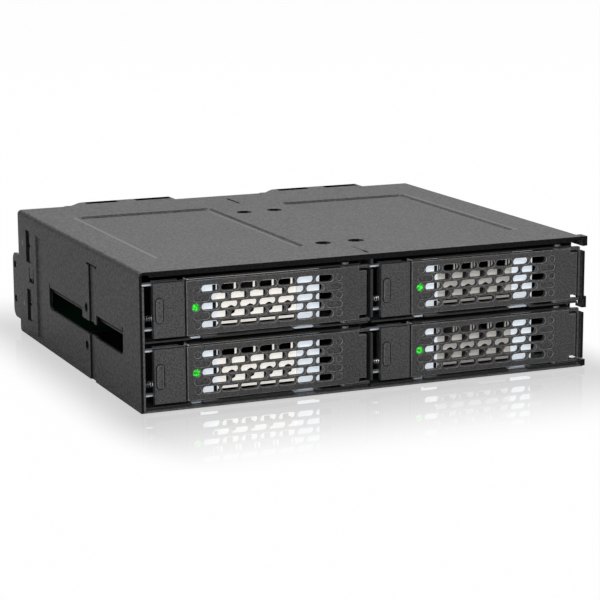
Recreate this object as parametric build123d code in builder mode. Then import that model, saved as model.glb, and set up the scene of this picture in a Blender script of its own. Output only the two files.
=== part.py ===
"""A hot swap drive cage for a half-height drive bay, with four trays behind slotted lever doors.

X runs to the right, Y to the rear and Z up. The origin is on the underside of the base pan, halfway
across and halfway along the cover. Lengths are in millimetres.
"""

import math
import os

from build123d import *

os.makedirs("parts", exist_ok=True)

# Driving sizes of the cage
cage_width = 146.0
cage_height = 41.3
cage_depth = 124.7
cover_sheet = 0.8
inner_sheet = 0.6
divider_sheet = 0.8
cover_bend = 1.4
rib_depth = 0.6
roof_room = 1.7
running_gap = 0.15
fit_gap = 0.1
small_round_sides = 8
wide_round_sides = 24

# Side mounting holes of a drive bay device, from the front and from the underside
side_hole_radius = 1.5
side_hole_front = 50.33
side_hole_spacing = 79.25
side_hole_low = 10.0
side_hole_rise = 11.84

# A 2.5 inch drive, its connector and the screw holes in its underside
drive_width = 69.85
drive_length = 100.45
drive_seat = 3.15
drive_hole_across = 61.72
drive_hole_along = 76.6
drive_hole_from_rear = 14.0
drive_hole_radius = 1.6
socket_from_right = 22.6
socket_width = 42.0
socket_height = 5.6
socket_rise = 0.75

# Front face of a tray: door, latch and the gaps beside them
face_setback = 0.3
door_thickness = 2.0
door_low = 1.65
door_top_gap = 1.05
latch_left = 2.9
latch_width = 9.5
latch_slit = 0.65
door_right_gap = 1.2
latch_thickness = 1.6

# Vent slots of a door
slot_length = 5.3
slot_height = 2.0
slot_pitch = 5.99
slot_row_pitch = 2.66
slot_margin = 1.4
first_slot = 7.42

# Door hinge and the hooks of the lever
hinge_from_right = 7.5
hinge_setback = 2.6
pin_radius = 0.8
pin_gap = 0.08
barrel_radius = 1.7
pin_head_radius = 1.3
pin_head_height = 0.6
hook_reach = 7.9
hook_thickness = 0.9
hook_front = 1.2
hook_rear = 0.1
hook_root = 1.5
hook_room = 0.35
corner_notch_width = 2.4
corner_notch_height = 1.4

# Tray frame
tray_sheet = 0.5
tray_nose = 1.4
wall_front = 5.4
wall_joggle = 1.0
tray_tail_gap = 5.5
rail_height = 10.0
flange_gap = 0.3

# Backplane, fans and the panels that carry them
board_to_panel = 9.4
board_thickness = 1.6
bracket_sheet = 0.8
bracket_gap = 0.1
bracket_flange = 3.5
socket_depth = 7.5
panel_inset = 4.3
panel_sheet = 0.8
panel_flange = 3.9
fan_low = 0.4
fan_headroom = 0.1
fan_thickness = 10.0
fan_center_x = 36.0
fan_wall = 1.3
fan_hole_inset = 4.0
fan_hole_radius = 1.7
fan_hub_radius = 9.5
fan_blades = 7

# Places worked out from the sizes above
front_y = -cage_depth / 2
half_width = cage_width / 2
wall_inside = half_width - cover_sheet
bay_edge = wall_inside - rib_depth
bay_width = bay_edge - divider_sheet / 2
under_top = cage_height - cover_sheet
bay_height = (under_top - roof_room) / 2 - inner_sheet
shelf_low = inner_sheet + bay_height
bay_left = {"left": -bay_edge, "right": divider_sheet / 2}
bay_floor = {"lower": inner_sheet, "upper": shelf_low + inner_sheet}
cage_corner = (0, front_y, 0)
panel_front = cage_depth - panel_inset
board_front = panel_front - board_to_panel
tray_tail = board_front - tray_tail_gap
drive_rear = board_front - drive_seat
drive_front = drive_rear - drive_length
drive_floor = running_gap + tray_sheet
flange_top = bay_height - flange_gap
flange_low = flange_top - tray_sheet
door_height = bay_height - door_low - door_top_gap
hinge_x = bay_width - hinge_from_right
hook_low = drive_floor + 2 * fit_gap
hook_high = flange_low - fit_gap
hook_floor = bay_floor["lower"] + hook_low - hook_room
hook_roof = bay_floor["upper"] + hook_high + hook_room
hook_band = hook_thickness + 2 * hook_room
hook_step = bay_floor["upper"] - bay_floor["lower"]
hook_cuts = (
    (hook_floor, hook_floor + hook_band),
    (hook_roof - hook_step - hook_band, hook_floor + hook_step + hook_band),
    (hook_roof - hook_band, hook_roof),
)
fan_size = under_top - fan_low - fan_headroom
fan_center_z = fan_low + fan_size / 2
fan_bore_radius = fan_size / 2 - fan_wall
fan_hole_pitch = fan_size - 2 * fan_hole_inset


def level(height, corner=cage_corner):
    """A plane that lies level at a height above a corner."""
    return Plane(origin=(corner[0], corner[1], corner[2] + height))


def upright(depth, corner=cage_corner):
    """A plane that faces the front at a depth behind a corner. Its Y axis points up."""
    return Plane(origin=(corner[0], corner[1] + depth, corner[2]), x_dir=(1, 0, 0), z_dir=(0, -1, 0))


def sideways(across, corner=cage_corner):
    """A plane that faces right at a distance right of a corner. Its X axis points to the rear."""
    return Plane(origin=(corner[0] + across, corner[1], corner[2]), x_dir=(0, 1, 0), z_dir=(1, 0, 0))


def area(low_x, high_x, low_y, high_y, mode=Mode.ADD):
    """A rectangle in the current sketch, given by its four sides."""
    with Locations(((low_x + high_x) / 2, (low_y + high_y) / 2)):
        Rectangle(high_x - low_x, high_y - low_y, mode=mode)


def soft_round(radius, mode=Mode.ADD, sides=small_round_sides):
    """A round in the current sketch with a few flat sides, which keeps repeated pieces light."""
    RegularPolygon(radius, sides, major_radius=False, mode=mode)


def write(shape, name):
    """Label a finished piece and write it to its own file."""
    shape.label = name
    export_step(shape, f"parts/{name}.step")


# Outer cover: top and sides folded from one sheet, open at the bottom, front and rear
window_front = 15.4
window_rear = cage_depth - 35.1
window_low = shelf_low - 5.4
window_high = window_low + 7.2
window_corner = 2.0
relief_width = 0.8
relief_height = 1.3
hanging_front = 40.5
hanging_rear = 54.4
hanging_low = shelf_low - 1.2
rib_front = 42.5
rib_rear = 47.3
rib_top = cage_height - 5.7
lance_front = 39.4
lance_rear = 49.3
lance_height = 0.7
bead_rear = cage_depth - 20.5
bead_front = bead_rear - 6.2
bead_low = 1.5
bead_top = cage_height - 5.5
press_slope = 50
catch_rear = board_front + board_thickness
catch_front = catch_rear - 5.2
catch_low = shelf_low - 0.6
catch_gap = 1.5
catch_top = catch_low + 5.0
catch_slit = 0.5
bracket_window_front = board_front - 0.6
bracket_window_rear = bracket_window_front + 5.2
bracket_windows = ((5.4, catch_low - 2.6), (catch_top + 1.4, cage_height - 5.3))
side_tab_rear = cage_depth + 7.6
side_tab_low = 3.9
side_tab_high = 26.0
side_tab_corner = 3.0
rear_corner = 1.2
panel_in = 13.3
panel_out = 60.3
press_front = 19.8
press_rear = cage_depth - 22.9
press_depth = 0.7
press_corner = 1.8
hem_setback = 3.5
hem_depth = 6.0
top_hole_radius = 2.4
top_hole_across = 10.94
top_hole_rows = (23.3, cage_depth - 36.3)
divider_tab_length = 11.4
divider_tab_rows = (8.5, cage_depth - 12.5)
top_tab_left = 18.7
top_tab_right = 19.4
top_tab_skew = 0.7
top_tab_middles = {"left": -fan_center_x, "right": fan_center_x - top_tab_skew}
top_tab_slant = 5.6
top_tab_rear = cage_depth + 6.6
top_tab_corner = 2.5
top_tab_notches = ((-11.7, -0.3), (6.2, 18.7))
top_tab_notch_depth = 4.1
catch_cut_depth = 8.4
lug_width = 3.8
lug_leg = 0.8
lug_seat = 0.2
low_lug_height = 2.0
middle_lug_height = 3.5
top_lug_height = 3.0
lug_spans = (
    (running_gap, running_gap + low_lug_height),
    (hook_cuts[1][1] + lug_seat - middle_lug_height, hook_cuts[1][1] + lug_seat),
    (cage_height - top_lug_height, cage_height),
)
pan_ear_depth = 13.0

with BuildPart() as outer_cover:
    with BuildSketch(upright(0)):
        area(-half_width, half_width, 0, cage_height)
        fillet([v for v in vertices() if v.Y > cage_height / 2], cover_bend)
    extrude(amount=-cage_depth)
    with BuildSketch(upright(0)):
        area(-wall_inside, wall_inside, 0, under_top)
        fillet([v for v in vertices() if v.Y > cage_height / 2], cover_bend - cover_sheet)
    extrude(amount=-cage_depth, mode=Mode.SUBTRACT)
    low_rear = [e for e in edges().filter_by(Axis.X) if e.center().Z < fit_gap and e.center().Y > 0]
    fillet(low_rear, rear_corner)
    # Folded hem along the front edge of the top
    with BuildSketch(level(under_top)):
        area(-half_width + hem_setback, half_width - hem_setback, 0, hem_depth)
    extrude(amount=-cover_sheet)
    # Pressed panels, lowered without thinning the sheet
    for side in (-1, 1):
        middle = (side * (half_width - (panel_in + panel_out) / 2), (press_front + press_rear) / 2)
        for height, mode in ((under_top, Mode.ADD), (cage_height, Mode.SUBTRACT)):
            with BuildSketch(level(height)):
                with Locations(middle):
                    Rectangle(panel_out - panel_in, press_rear - press_front)
                chamfer(vertices(), press_corner)
            extrude(amount=-press_depth, taper=press_slope, mode=mode)
    # Rear tabs of the top, each with two notches over its fan
    for middle in top_tab_middles.values():
        left = middle - top_tab_left
        right = middle + top_tab_right
        with BuildSketch(level(under_top)):
            with BuildLine():
                FilletPolyline(
                    (left, cage_depth),
                    (left + top_tab_slant, top_tab_rear),
                    (right, top_tab_rear),
                    (right, cage_depth),
                    radius=(top_tab_corner, fit_gap),
                )
                Line((right, cage_depth), (left, cage_depth))
            make_face()
            for start, end in top_tab_notches:
                area(
                    middle + start,
                    middle + end,
                    top_tab_rear - top_tab_notch_depth,
                    top_tab_rear,
                    mode=Mode.SUBTRACT,
                )
        extrude(amount=cover_sheet)
    # Rear tabs of the side walls, for the rear mounting holes
    for side in (-1, 1):
        with BuildSketch(sideways(side * half_width)):
            area(cage_depth - side_tab_corner, side_tab_rear, side_tab_low, side_tab_high)
            fillet([v for v in vertices() if v.X > cage_depth], side_tab_corner)
        extrude(amount=-side * cover_sheet)
    # Ribs pressed into the side walls, lowered without thinning the sheet
    for side in (-1, 1):
        for across, mode in ((wall_inside, Mode.ADD), (half_width, Mode.SUBTRACT)):
            with BuildSketch(sideways(side * across)):
                area(rib_front, rib_rear, 0, rib_top)
            extrude(amount=-side * rib_depth, mode=mode)
            with BuildSketch(sideways(side * across)):
                area(bead_front, bead_rear, bead_low, bead_top)
            extrude(amount=-side * rib_depth, taper=press_slope, mode=mode)
    # Openings in both side walls
    with BuildSketch(sideways(-half_width - fit_gap)) as side_openings:
        area(window_front, window_rear, window_low, window_high)
        fillet([v for v in vertices() if v.Y < window_high], window_corner)
        for edge in (window_front, window_rear - relief_width):
            area(edge, edge + relief_width, window_high, window_high + relief_height)
        area(hanging_front, hanging_rear, hanging_low, window_high, mode=Mode.SUBTRACT)
        area(lance_front, lance_rear, rib_top, rib_top + lance_height)
        for low, high in bracket_windows:
            area(bracket_window_front, bracket_window_rear, low, high)
        area(catch_front, catch_rear, catch_low, catch_low + catch_gap)
        for edge in (catch_front, catch_rear - catch_slit):
            area(edge, edge + catch_slit, catch_low, catch_top)
        for depth in (side_hole_front, side_hole_front + side_hole_spacing):
            for height in (side_hole_low, side_hole_low + side_hole_rise):
                with Locations((depth, height)):
                    Circle(side_hole_radius)
    extrude(amount=cage_width + 2 * fit_gap, mode=Mode.SUBTRACT)
    # Holes in the top beside the divider, and the slots for its tabs
    with BuildSketch(level(cage_height + fit_gap)):
        for depth in top_hole_rows:
            with Locations((-top_hole_across / 2, depth), (top_hole_across / 2, depth)):
                soft_round(top_hole_radius)
        for depth in divider_tab_rows:
            with Locations((0, depth)):
                Rectangle(divider_sheet + 2 * fit_gap, divider_tab_length + 2 * fit_gap)
    extrude(amount=-2 * cover_sheet - 2 * fit_gap, mode=Mode.SUBTRACT)
    # Room for the lever hooks in the right wall, and the lugs that bridge it
    with BuildSketch(sideways(half_width)):
        for low, high in hook_cuts:
            area(0, catch_cut_depth, low, high)
    extrude(amount=-cover_sheet, mode=Mode.SUBTRACT)
    for low, high in lug_spans:
        with BuildSketch(upright(0)):
            area(wall_inside, half_width + cover_sheet, low, high)
            area(wall_inside, half_width, low + lug_leg, high - lug_leg, mode=Mode.SUBTRACT)
        extrude(amount=-lug_width)
write(outer_cover.part, "outer_cover")

# Base pan: floor, low side flanges and taller ears at the front that guide the trays
pan_rear = panel_front - fit_gap
flange_height = 4.2
flange_rear = cage_depth - 31.7
ear_height = cage_height - 4.3
right_ear_setback = 1.5
shelf_tab_depth = 5.5
shelf_front = 7.0

with BuildPart() as base_pan:
    with BuildSketch(level(0)):
        area(-wall_inside, wall_inside, 0, pan_rear)
        for side in (-1, 1):
            edge = side * (bay_edge + rib_depth / 2)
            for start, end in ((rib_front, rib_rear), (bead_front, bead_rear)):
                with Locations((edge, (start + end) / 2)):
                    Rectangle(rib_depth, end - start + 2 * fit_gap, mode=Mode.SUBTRACT)
        with Locations((0, divider_tab_rows[0]), (0, divider_tab_rows[1])):
            Rectangle(
                divider_sheet + 2 * fit_gap, divider_tab_length + 2 * fit_gap, mode=Mode.SUBTRACT
            )
    extrude(amount=inner_sheet)
    for side, setback in ((-1, 0), (1, right_ear_setback)):
        with BuildSketch(sideways(side * wall_inside)):
            area(setback, flange_rear, 0, flange_height)
            area(setback, pan_ear_depth, 0, ear_height)
            area(
                rib_front - fit_gap, rib_rear + fit_gap, 0, flange_height, mode=Mode.SUBTRACT
            )
            area(
                shelf_front - fit_gap,
                shelf_front + shelf_tab_depth + fit_gap,
                shelf_low - fit_gap,
                shelf_low + inner_sheet + fit_gap,
                mode=Mode.SUBTRACT,
            )
        extrude(amount=-side * inner_sheet)
    with BuildSketch(sideways(wall_inside)):
        for low, high in hook_cuts:
            area(0, catch_cut_depth, low, high)
    extrude(amount=-inner_sheet, mode=Mode.SUBTRACT)
write(base_pan.part, "base_pan")

# Center divider: one upright sheet with tabs through the top and the floor
divider_rear = board_front - fit_gap
shelf_slot_rows = (36.0, cage_depth - 43.7)
shelf_slot_length = 12.0
hem_clearance = hem_depth + fit_gap

with BuildPart() as center_divider:
    with BuildSketch(sideways(-divider_sheet / 2)):
        area(0, divider_rear, inner_sheet, under_top)
        area(0, hem_clearance, under_top - cover_sheet, under_top, mode=Mode.SUBTRACT)
        for low, high in hook_cuts:
            area(0, catch_cut_depth, low, high, mode=Mode.SUBTRACT)
        for depth in shelf_slot_rows:
            area(
                depth - shelf_slot_length / 2 - fit_gap,
                depth + shelf_slot_length / 2 + fit_gap,
                shelf_low - fit_gap,
                shelf_low + inner_sheet + fit_gap,
                mode=Mode.SUBTRACT,
            )
    extrude(amount=divider_sheet)
    with BuildSketch(sideways(-divider_sheet / 2)):
        tab_half = divider_tab_length / 2
        area(divider_tab_rows[0] - tab_half, divider_tab_rows[0] + tab_half, 0, inner_sheet)
        area(hem_clearance, divider_tab_rows[0] + tab_half, under_top, cage_height)
    extrude(amount=divider_sheet)
write(center_divider.part, "center_divider")

# Shelves: one sheet on each side of the divider, under the upper trays
shelf_rear = board_front - fit_gap
shelf_flange_rear = bead_front - 0.8
shelf_flange_front = shelf_flange_rear - 6.4
shelf_flange_low = shelf_low - 3.6

for column, side in (("left", -1), ("right", 1)):
    with BuildPart() as shelf:
        with BuildSketch(level(shelf_low)):
            inner_x = side * divider_sheet / 2
            outer_x = side * bay_edge
            area(min(inner_x, outer_x), max(inner_x, outer_x), shelf_front, shelf_rear)
            wall_x = side * wall_inside
            for start, end in (
                (shelf_front, shelf_front + shelf_tab_depth),
                (shelf_flange_front, shelf_flange_rear),
            ):
                area(min(wall_x, outer_x), max(wall_x, outer_x), start, end)
            for depth in shelf_slot_rows:
                with Locations((inner_x - side * divider_sheet / 4, depth)):
                    Rectangle(divider_sheet / 2, shelf_slot_length)
        extrude(amount=inner_sheet)
        with BuildSketch(sideways(wall_x)):
            area(shelf_flange_front, shelf_flange_rear, shelf_flange_low, shelf_low)
        extrude(amount=-side * inner_sheet)
    write(shelf.part, f"shelf_{column}")

# Backplane: circuit board with air slots, and the sockets on both its faces
board_side_gap = 0.3
board_edge = wall_inside - board_side_gap
board_low = inner_sheet + board_side_gap
board_high = under_top - board_side_gap
vent_in = 18.0
vent_out = 58.0
vent_rise = 8.8
vent_headroom = 1.0
vent_rows = [(floor + vent_rise, floor + bay_height - vent_headroom) for floor in bay_floor.values()]
bracket_edge = wall_inside - fit_gap
bracket_low = board_low + board_side_gap
bracket_high = board_high - board_side_gap
data_across = (-12.0, -4.0, 4.0, 12.0)
data_width = 6.2
data_tall = 16.8
data_middle = under_top - 2.2 - data_tall / 2
power_across = 64.0
power_width = 6.2
power_tall = 24.0
power_middle = (inner_sheet + under_top) / 2
cut_margin = 0.5
rear_plug_depth = panel_front + panel_sheet - board_front - board_thickness
tongue_slots = ((-17.7, -7.1), (-3.5, 17.5))
tongue_slot_height = 2.3
plug_wall = 0.9
plug_floor = 2.0
tongue_width = 1.2
data_tongue = 10.4
power_tongue = 20.6

with BuildPart() as backplane_board:
    with BuildSketch(upright(board_front)):
        area(-board_edge, board_edge, board_low, board_high)
        for side in (-1, 1):
            for low, high in vent_rows:
                with Locations((side * (vent_in + vent_out) / 2, (low + high) / 2)):
                    Rectangle(vent_out - vent_in, high - low, mode=Mode.SUBTRACT)
    extrude(amount=-board_thickness)
write(backplane_board.part, "backplane_board")

with BuildPart() as drive_connectors:
    for column in bay_left:
        for row in bay_floor:
            socket_x = bay_left[column] + (bay_width + drive_width) / 2 - socket_from_right
            socket_low = bay_floor[row] + running_gap + tray_sheet + socket_rise
            with BuildSketch(upright(board_front)):
                area(
                    socket_x - socket_width / 2,
                    socket_x + socket_width / 2,
                    socket_low,
                    socket_low + socket_height,
                )
            extrude(amount=socket_depth)
            # The slots that take the drive's two tongues, with the wall between them
            with BuildSketch(upright(board_front - socket_depth)):
                for start, end in tongue_slots:
                    with Locations((socket_x + (start + end) / 2, socket_low + socket_height / 2)):
                        Rectangle(end - start, tongue_slot_height)
            extrude(amount=-socket_depth + plug_floor, mode=Mode.SUBTRACT)
write(drive_connectors.part, "drive_connectors")

with BuildPart() as data_connectors:
    with BuildSketch(upright(board_front + board_thickness)):
        with Locations(*[(x, data_middle) for x in data_across]):
            Rectangle(data_width, data_tall)
    extrude(amount=-rear_plug_depth)
    with BuildSketch(upright(board_front + board_thickness + plug_floor)):
        with Locations(*[(x, data_middle) for x in data_across]):
            Rectangle(data_width - 2 * plug_wall, data_tall - 2 * plug_wall)
            Rectangle(tongue_width, data_tongue, mode=Mode.SUBTRACT)
    extrude(amount=-rear_plug_depth, mode=Mode.SUBTRACT)
write(data_connectors.part, "data_connectors")

with BuildPart() as power_connectors:
    with BuildSketch(upright(board_front + board_thickness)):
        with Locations((-power_across, power_middle), (power_across, power_middle)):
            Rectangle(power_width, power_tall)
    extrude(amount=-rear_plug_depth)
    with BuildSketch(upright(board_front + board_thickness + plug_floor)):
        with Locations((-power_across, power_middle), (power_across, power_middle)):
            Rectangle(power_width - 2 * plug_wall, power_tall - 2 * plug_wall)
            Rectangle(tongue_width, power_tongue, mode=Mode.SUBTRACT)
    extrude(amount=-rear_plug_depth, mode=Mode.SUBTRACT)
write(power_connectors.part, "power_connectors")

# Bracket behind the board: bare sheet with side flanges that show in the rear side windows
bracket_front = board_front + board_thickness + bracket_gap
rear_flange_low = 3.0
rear_flange_high = cage_height - 3.3
rear_flange_split = 0.9

with BuildPart() as backplane_bracket:
    with BuildSketch(upright(bracket_front)):
        area(-bracket_edge, bracket_edge, bracket_low, bracket_high)
        for side in (-1, 1):
            with Locations((side * (vent_in + vent_out) / 2, (bracket_low + bracket_high) / 2)):
                Rectangle(vent_out - vent_in, vent_rows[1][1] - vent_rows[0][0], mode=Mode.SUBTRACT)
            with Locations((side * power_across, power_middle)):
                Rectangle(
                    power_width + 2 * cut_margin, power_tall + 2 * cut_margin, mode=Mode.SUBTRACT
                )
        data_half = data_across[-1] + data_width / 2 + cut_margin
        with Locations((0, data_middle)):
            Rectangle(2 * data_half, data_tall + 2 * cut_margin, mode=Mode.SUBTRACT)
    extrude(amount=-bracket_sheet)
    for side in (-1, 1):
        with BuildSketch(sideways(side * bracket_edge)):
            area(
                bracket_front,
                bracket_front + bracket_flange,
                rear_flange_low,
                rear_flange_high,
            )
            for low, high in bracket_windows:
                middle = (low + high) / 2
                area(
                    bracket_front + bracket_sheet,
                    bracket_front + bracket_flange,
                    middle - rear_flange_split / 2,
                    middle + rear_flange_split / 2,
                    mode=Mode.SUBTRACT,
                )
        extrude(amount=-side * bracket_sheet)
write(backplane_bracket.part, "backplane_bracket")

# Rear panel: carries the fans, with side flanges riveted to the cover
panel_edge = wall_inside - fit_gap
panel_low = inner_sheet + fit_gap
panel_high = under_top - 2 * fit_gap

with BuildPart() as rear_panel:
    with BuildSketch(upright(panel_front)):
        area(-panel_edge, panel_edge, panel_low, panel_high)
        with Locations((-fan_center_x, fan_center_z), (fan_center_x, fan_center_z)):
            soft_round(fan_bore_radius, Mode.SUBTRACT, wide_round_sides)
            with GridLocations(fan_hole_pitch, fan_hole_pitch, 2, 2):
                soft_round(fan_hole_radius, mode=Mode.SUBTRACT)
        with Locations((0, data_middle)):
            Rectangle(2 * data_half, data_tall + 2 * cut_margin, mode=Mode.SUBTRACT)
        with Locations((-power_across, power_middle), (power_across, power_middle)):
            Rectangle(power_width + 2 * cut_margin, power_tall + 2 * cut_margin, mode=Mode.SUBTRACT)
    extrude(amount=-panel_sheet)
    for side in (-1, 1):
        with BuildSketch(sideways(side * panel_edge)):
            area(panel_front - panel_flange, panel_front, rear_flange_low, rear_flange_high)
        extrude(amount=-side * panel_sheet)
write(rear_panel.part, "rear_panel")

# Fans: housing with a hub on struts, and an impeller that turns on a shaft in the hub
fan_front = panel_front + panel_sheet
fan_corner = 1.5
fan_struts = 4
strut_depth = 1.5
strut_width = 2.2
strut_turn = 45
strut_overlap = 0.5
hub_boss_radius = 8.5
shaft_radius = 1.0
rotor_depth = 7.6
blade_thickness = 0.7
blade_pitch = math.radians(40)
blade_tip_gap = 0.6
rotor_front_gap = 0.4
rotor_middle = fan_front + rotor_front_gap + rotor_depth / 2
blade_middle = (fan_hub_radius + fan_bore_radius) / 2
blade_root = 1.0
blade_length = fan_bore_radius - fan_hub_radius + 2 * blade_root

for column, side in (("left", -1), ("right", 1)):
    fan_corner_point = (side * fan_center_x, front_y, fan_center_z)
    with BuildPart() as fan_frame:
        with BuildSketch(upright(fan_front, fan_corner_point)):
            Rectangle(fan_size, fan_size)
            chamfer(vertices(), fan_corner)
            soft_round(fan_bore_radius, Mode.SUBTRACT, wide_round_sides)
            with GridLocations(fan_hole_pitch, fan_hole_pitch, 2, 2):
                soft_round(fan_hole_radius, mode=Mode.SUBTRACT)
        extrude(amount=-fan_thickness)
        with BuildSketch(upright(fan_front + fan_thickness - strut_depth, fan_corner_point)):
            soft_round(hub_boss_radius, sides=wide_round_sides)
            strut_middle = (fan_bore_radius + hub_boss_radius) / 2
            strut_length = fan_bore_radius - hub_boss_radius + 2 * strut_overlap
            with PolarLocations(strut_middle, fan_struts, start_angle=strut_turn):
                Rectangle(strut_length, strut_width)
            Circle(shaft_radius + pin_gap, mode=Mode.SUBTRACT)
        extrude(amount=-strut_depth)
        # Pads that stand up into the notches of the cover's rear tab
        with BuildSketch(level(fan_low + fan_size)):
            for start, end in top_tab_notches:
                area(
                    top_tab_middles[column] + start + fit_gap,
                    top_tab_middles[column] + end - fit_gap,
                    top_tab_rear - top_tab_notch_depth + fit_gap,
                    fan_front + fan_thickness,
                )
        extrude(amount=cage_height - fan_low - fan_size)
    write(fan_frame.part, f"fan_frame_{column}")

    with BuildPart() as fan_rotor:
        hub_center = Vector(side * fan_center_x, front_y + rotor_middle, fan_center_z)
        for blade in range(fan_blades):
            turn = 2 * math.pi * blade / fan_blades
            outward = Vector(math.cos(turn), 0, math.sin(turn))
            along = Vector(0, 1, 0)
            across = along.cross(outward)
            facing = across * math.cos(blade_pitch) + along * math.sin(blade_pitch)
            with Locations(Plane(hub_center + outward * blade_middle, x_dir=outward, z_dir=facing)):
                Box(blade_length, 2 * rotor_depth, blade_thickness)
        with BuildSketch(upright(fan_front + rotor_front_gap, fan_corner_point)):
            soft_round(fan_bore_radius - blade_tip_gap, sides=wide_round_sides)
        extrude(amount=-rotor_depth, mode=Mode.INTERSECT)
        with BuildSketch(upright(fan_front + rotor_front_gap, fan_corner_point)):
            soft_round(fan_hub_radius, sides=wide_round_sides)
        extrude(amount=-rotor_depth)
        with BuildSketch(upright(fan_front + rotor_front_gap + rotor_depth, fan_corner_point)):
            Circle(shaft_radius)
        extrude(amount=-(fan_thickness - rotor_front_gap - rotor_depth))
    write(fan_rotor.part, f"fan_rotor_{column}")

# Trays: the same eight pieces in each of the four bays
door_left = latch_left + latch_width + latch_slit
door_right = bay_width - door_right_gap
door_high = door_low + door_height
door_back = face_setback + door_thickness
face_middle = door_low + door_height / 2
tray_edge = bay_width - running_gap
wall_folds = (14.0, 18.6, 23.5, hinge_x - 14.2, hinge_x - 7.3)
wall_steps = (0, wall_joggle, 0, wall_joggle)
wall_back = wall_front + tray_sheet
wall_hole_width = 4.1
wall_hole_high = flange_top - 3.5
wall_hole_low = wall_hole_high - 2.8
wall_hole_first = 27.6
wall_hole_margin = 1.0
wall_hole_room = wall_folds[3] - wall_hole_first - wall_hole_width / 2 - wall_hole_margin
wall_holes = 1 + int(wall_hole_room / slot_pitch)
wall_eye_shift = 1.1
wall_eye_height = 7.1
wall_eye_radius = 1.3
wall_window_left = wall_folds[2] + 0.9
wall_window_right = wall_folds[3] - 0.9
wall_window_high = 2.9
foot_front = 2.8
feet = ((14.7, 18.0), (hinge_x - 16.6, hinge_x - 9.9))
flange_right = hinge_x + 4.7
bar_front = 2.5
bar_rear = 5.3
bar_right = wall_folds[0] + tray_sheet
bar_heights = (3.6, flange_top - 1.7)
cheek_depth = 9.0
cheek_height = flange_top - 1.0
right_rail_front = 9.5
spring_ear_front = 2.4
spring_ear_low = 4.9
spring_ear_high = 9.1
lens_x = 15.9
lens_radius = 1.2
guide_radius = 1.0
guide_gap = 0.4
guide_tail = 7.0
ridge_across = 1.8
ridge_length = 6.8
ridge_width = 1.85
ridge_height = 0.3
carriage_left = 4.0
carriage_right = 12.0
carriage_rear = 5.9
lip_depth = 0.5
lip_reach = 0.4
nose_depth = 0.9
nose_width = 0.8
catch_middle = face_middle - fit_gap
catch_height = 5.2
catch_depth = 1.2
catch_width = 1.2
spring_middle = 7.0
spring_y = 3.6
spring_radius = 1.0
spring_bore = 0.7
spring_pocket_radius = 1.25
spring_pocket_depth = 3.0

slot_rows = 1 + int((door_height - slot_height - 2 * slot_margin) / slot_row_pitch)
slot_room = hinge_x - barrel_radius - slot_length / 2 - door_left - first_slot
slots_in_long_row = 1 + int(slot_room / slot_pitch)
slot_places = []
for line in range(slot_rows):
    height = face_middle + (line - (slot_rows - 1) / 2) * slot_row_pitch
    short = line % 2
    start = door_left + first_slot + short * slot_pitch / 2
    slot_places += [(start + i * slot_pitch, height) for i in range(slots_in_long_row - short)]

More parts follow.
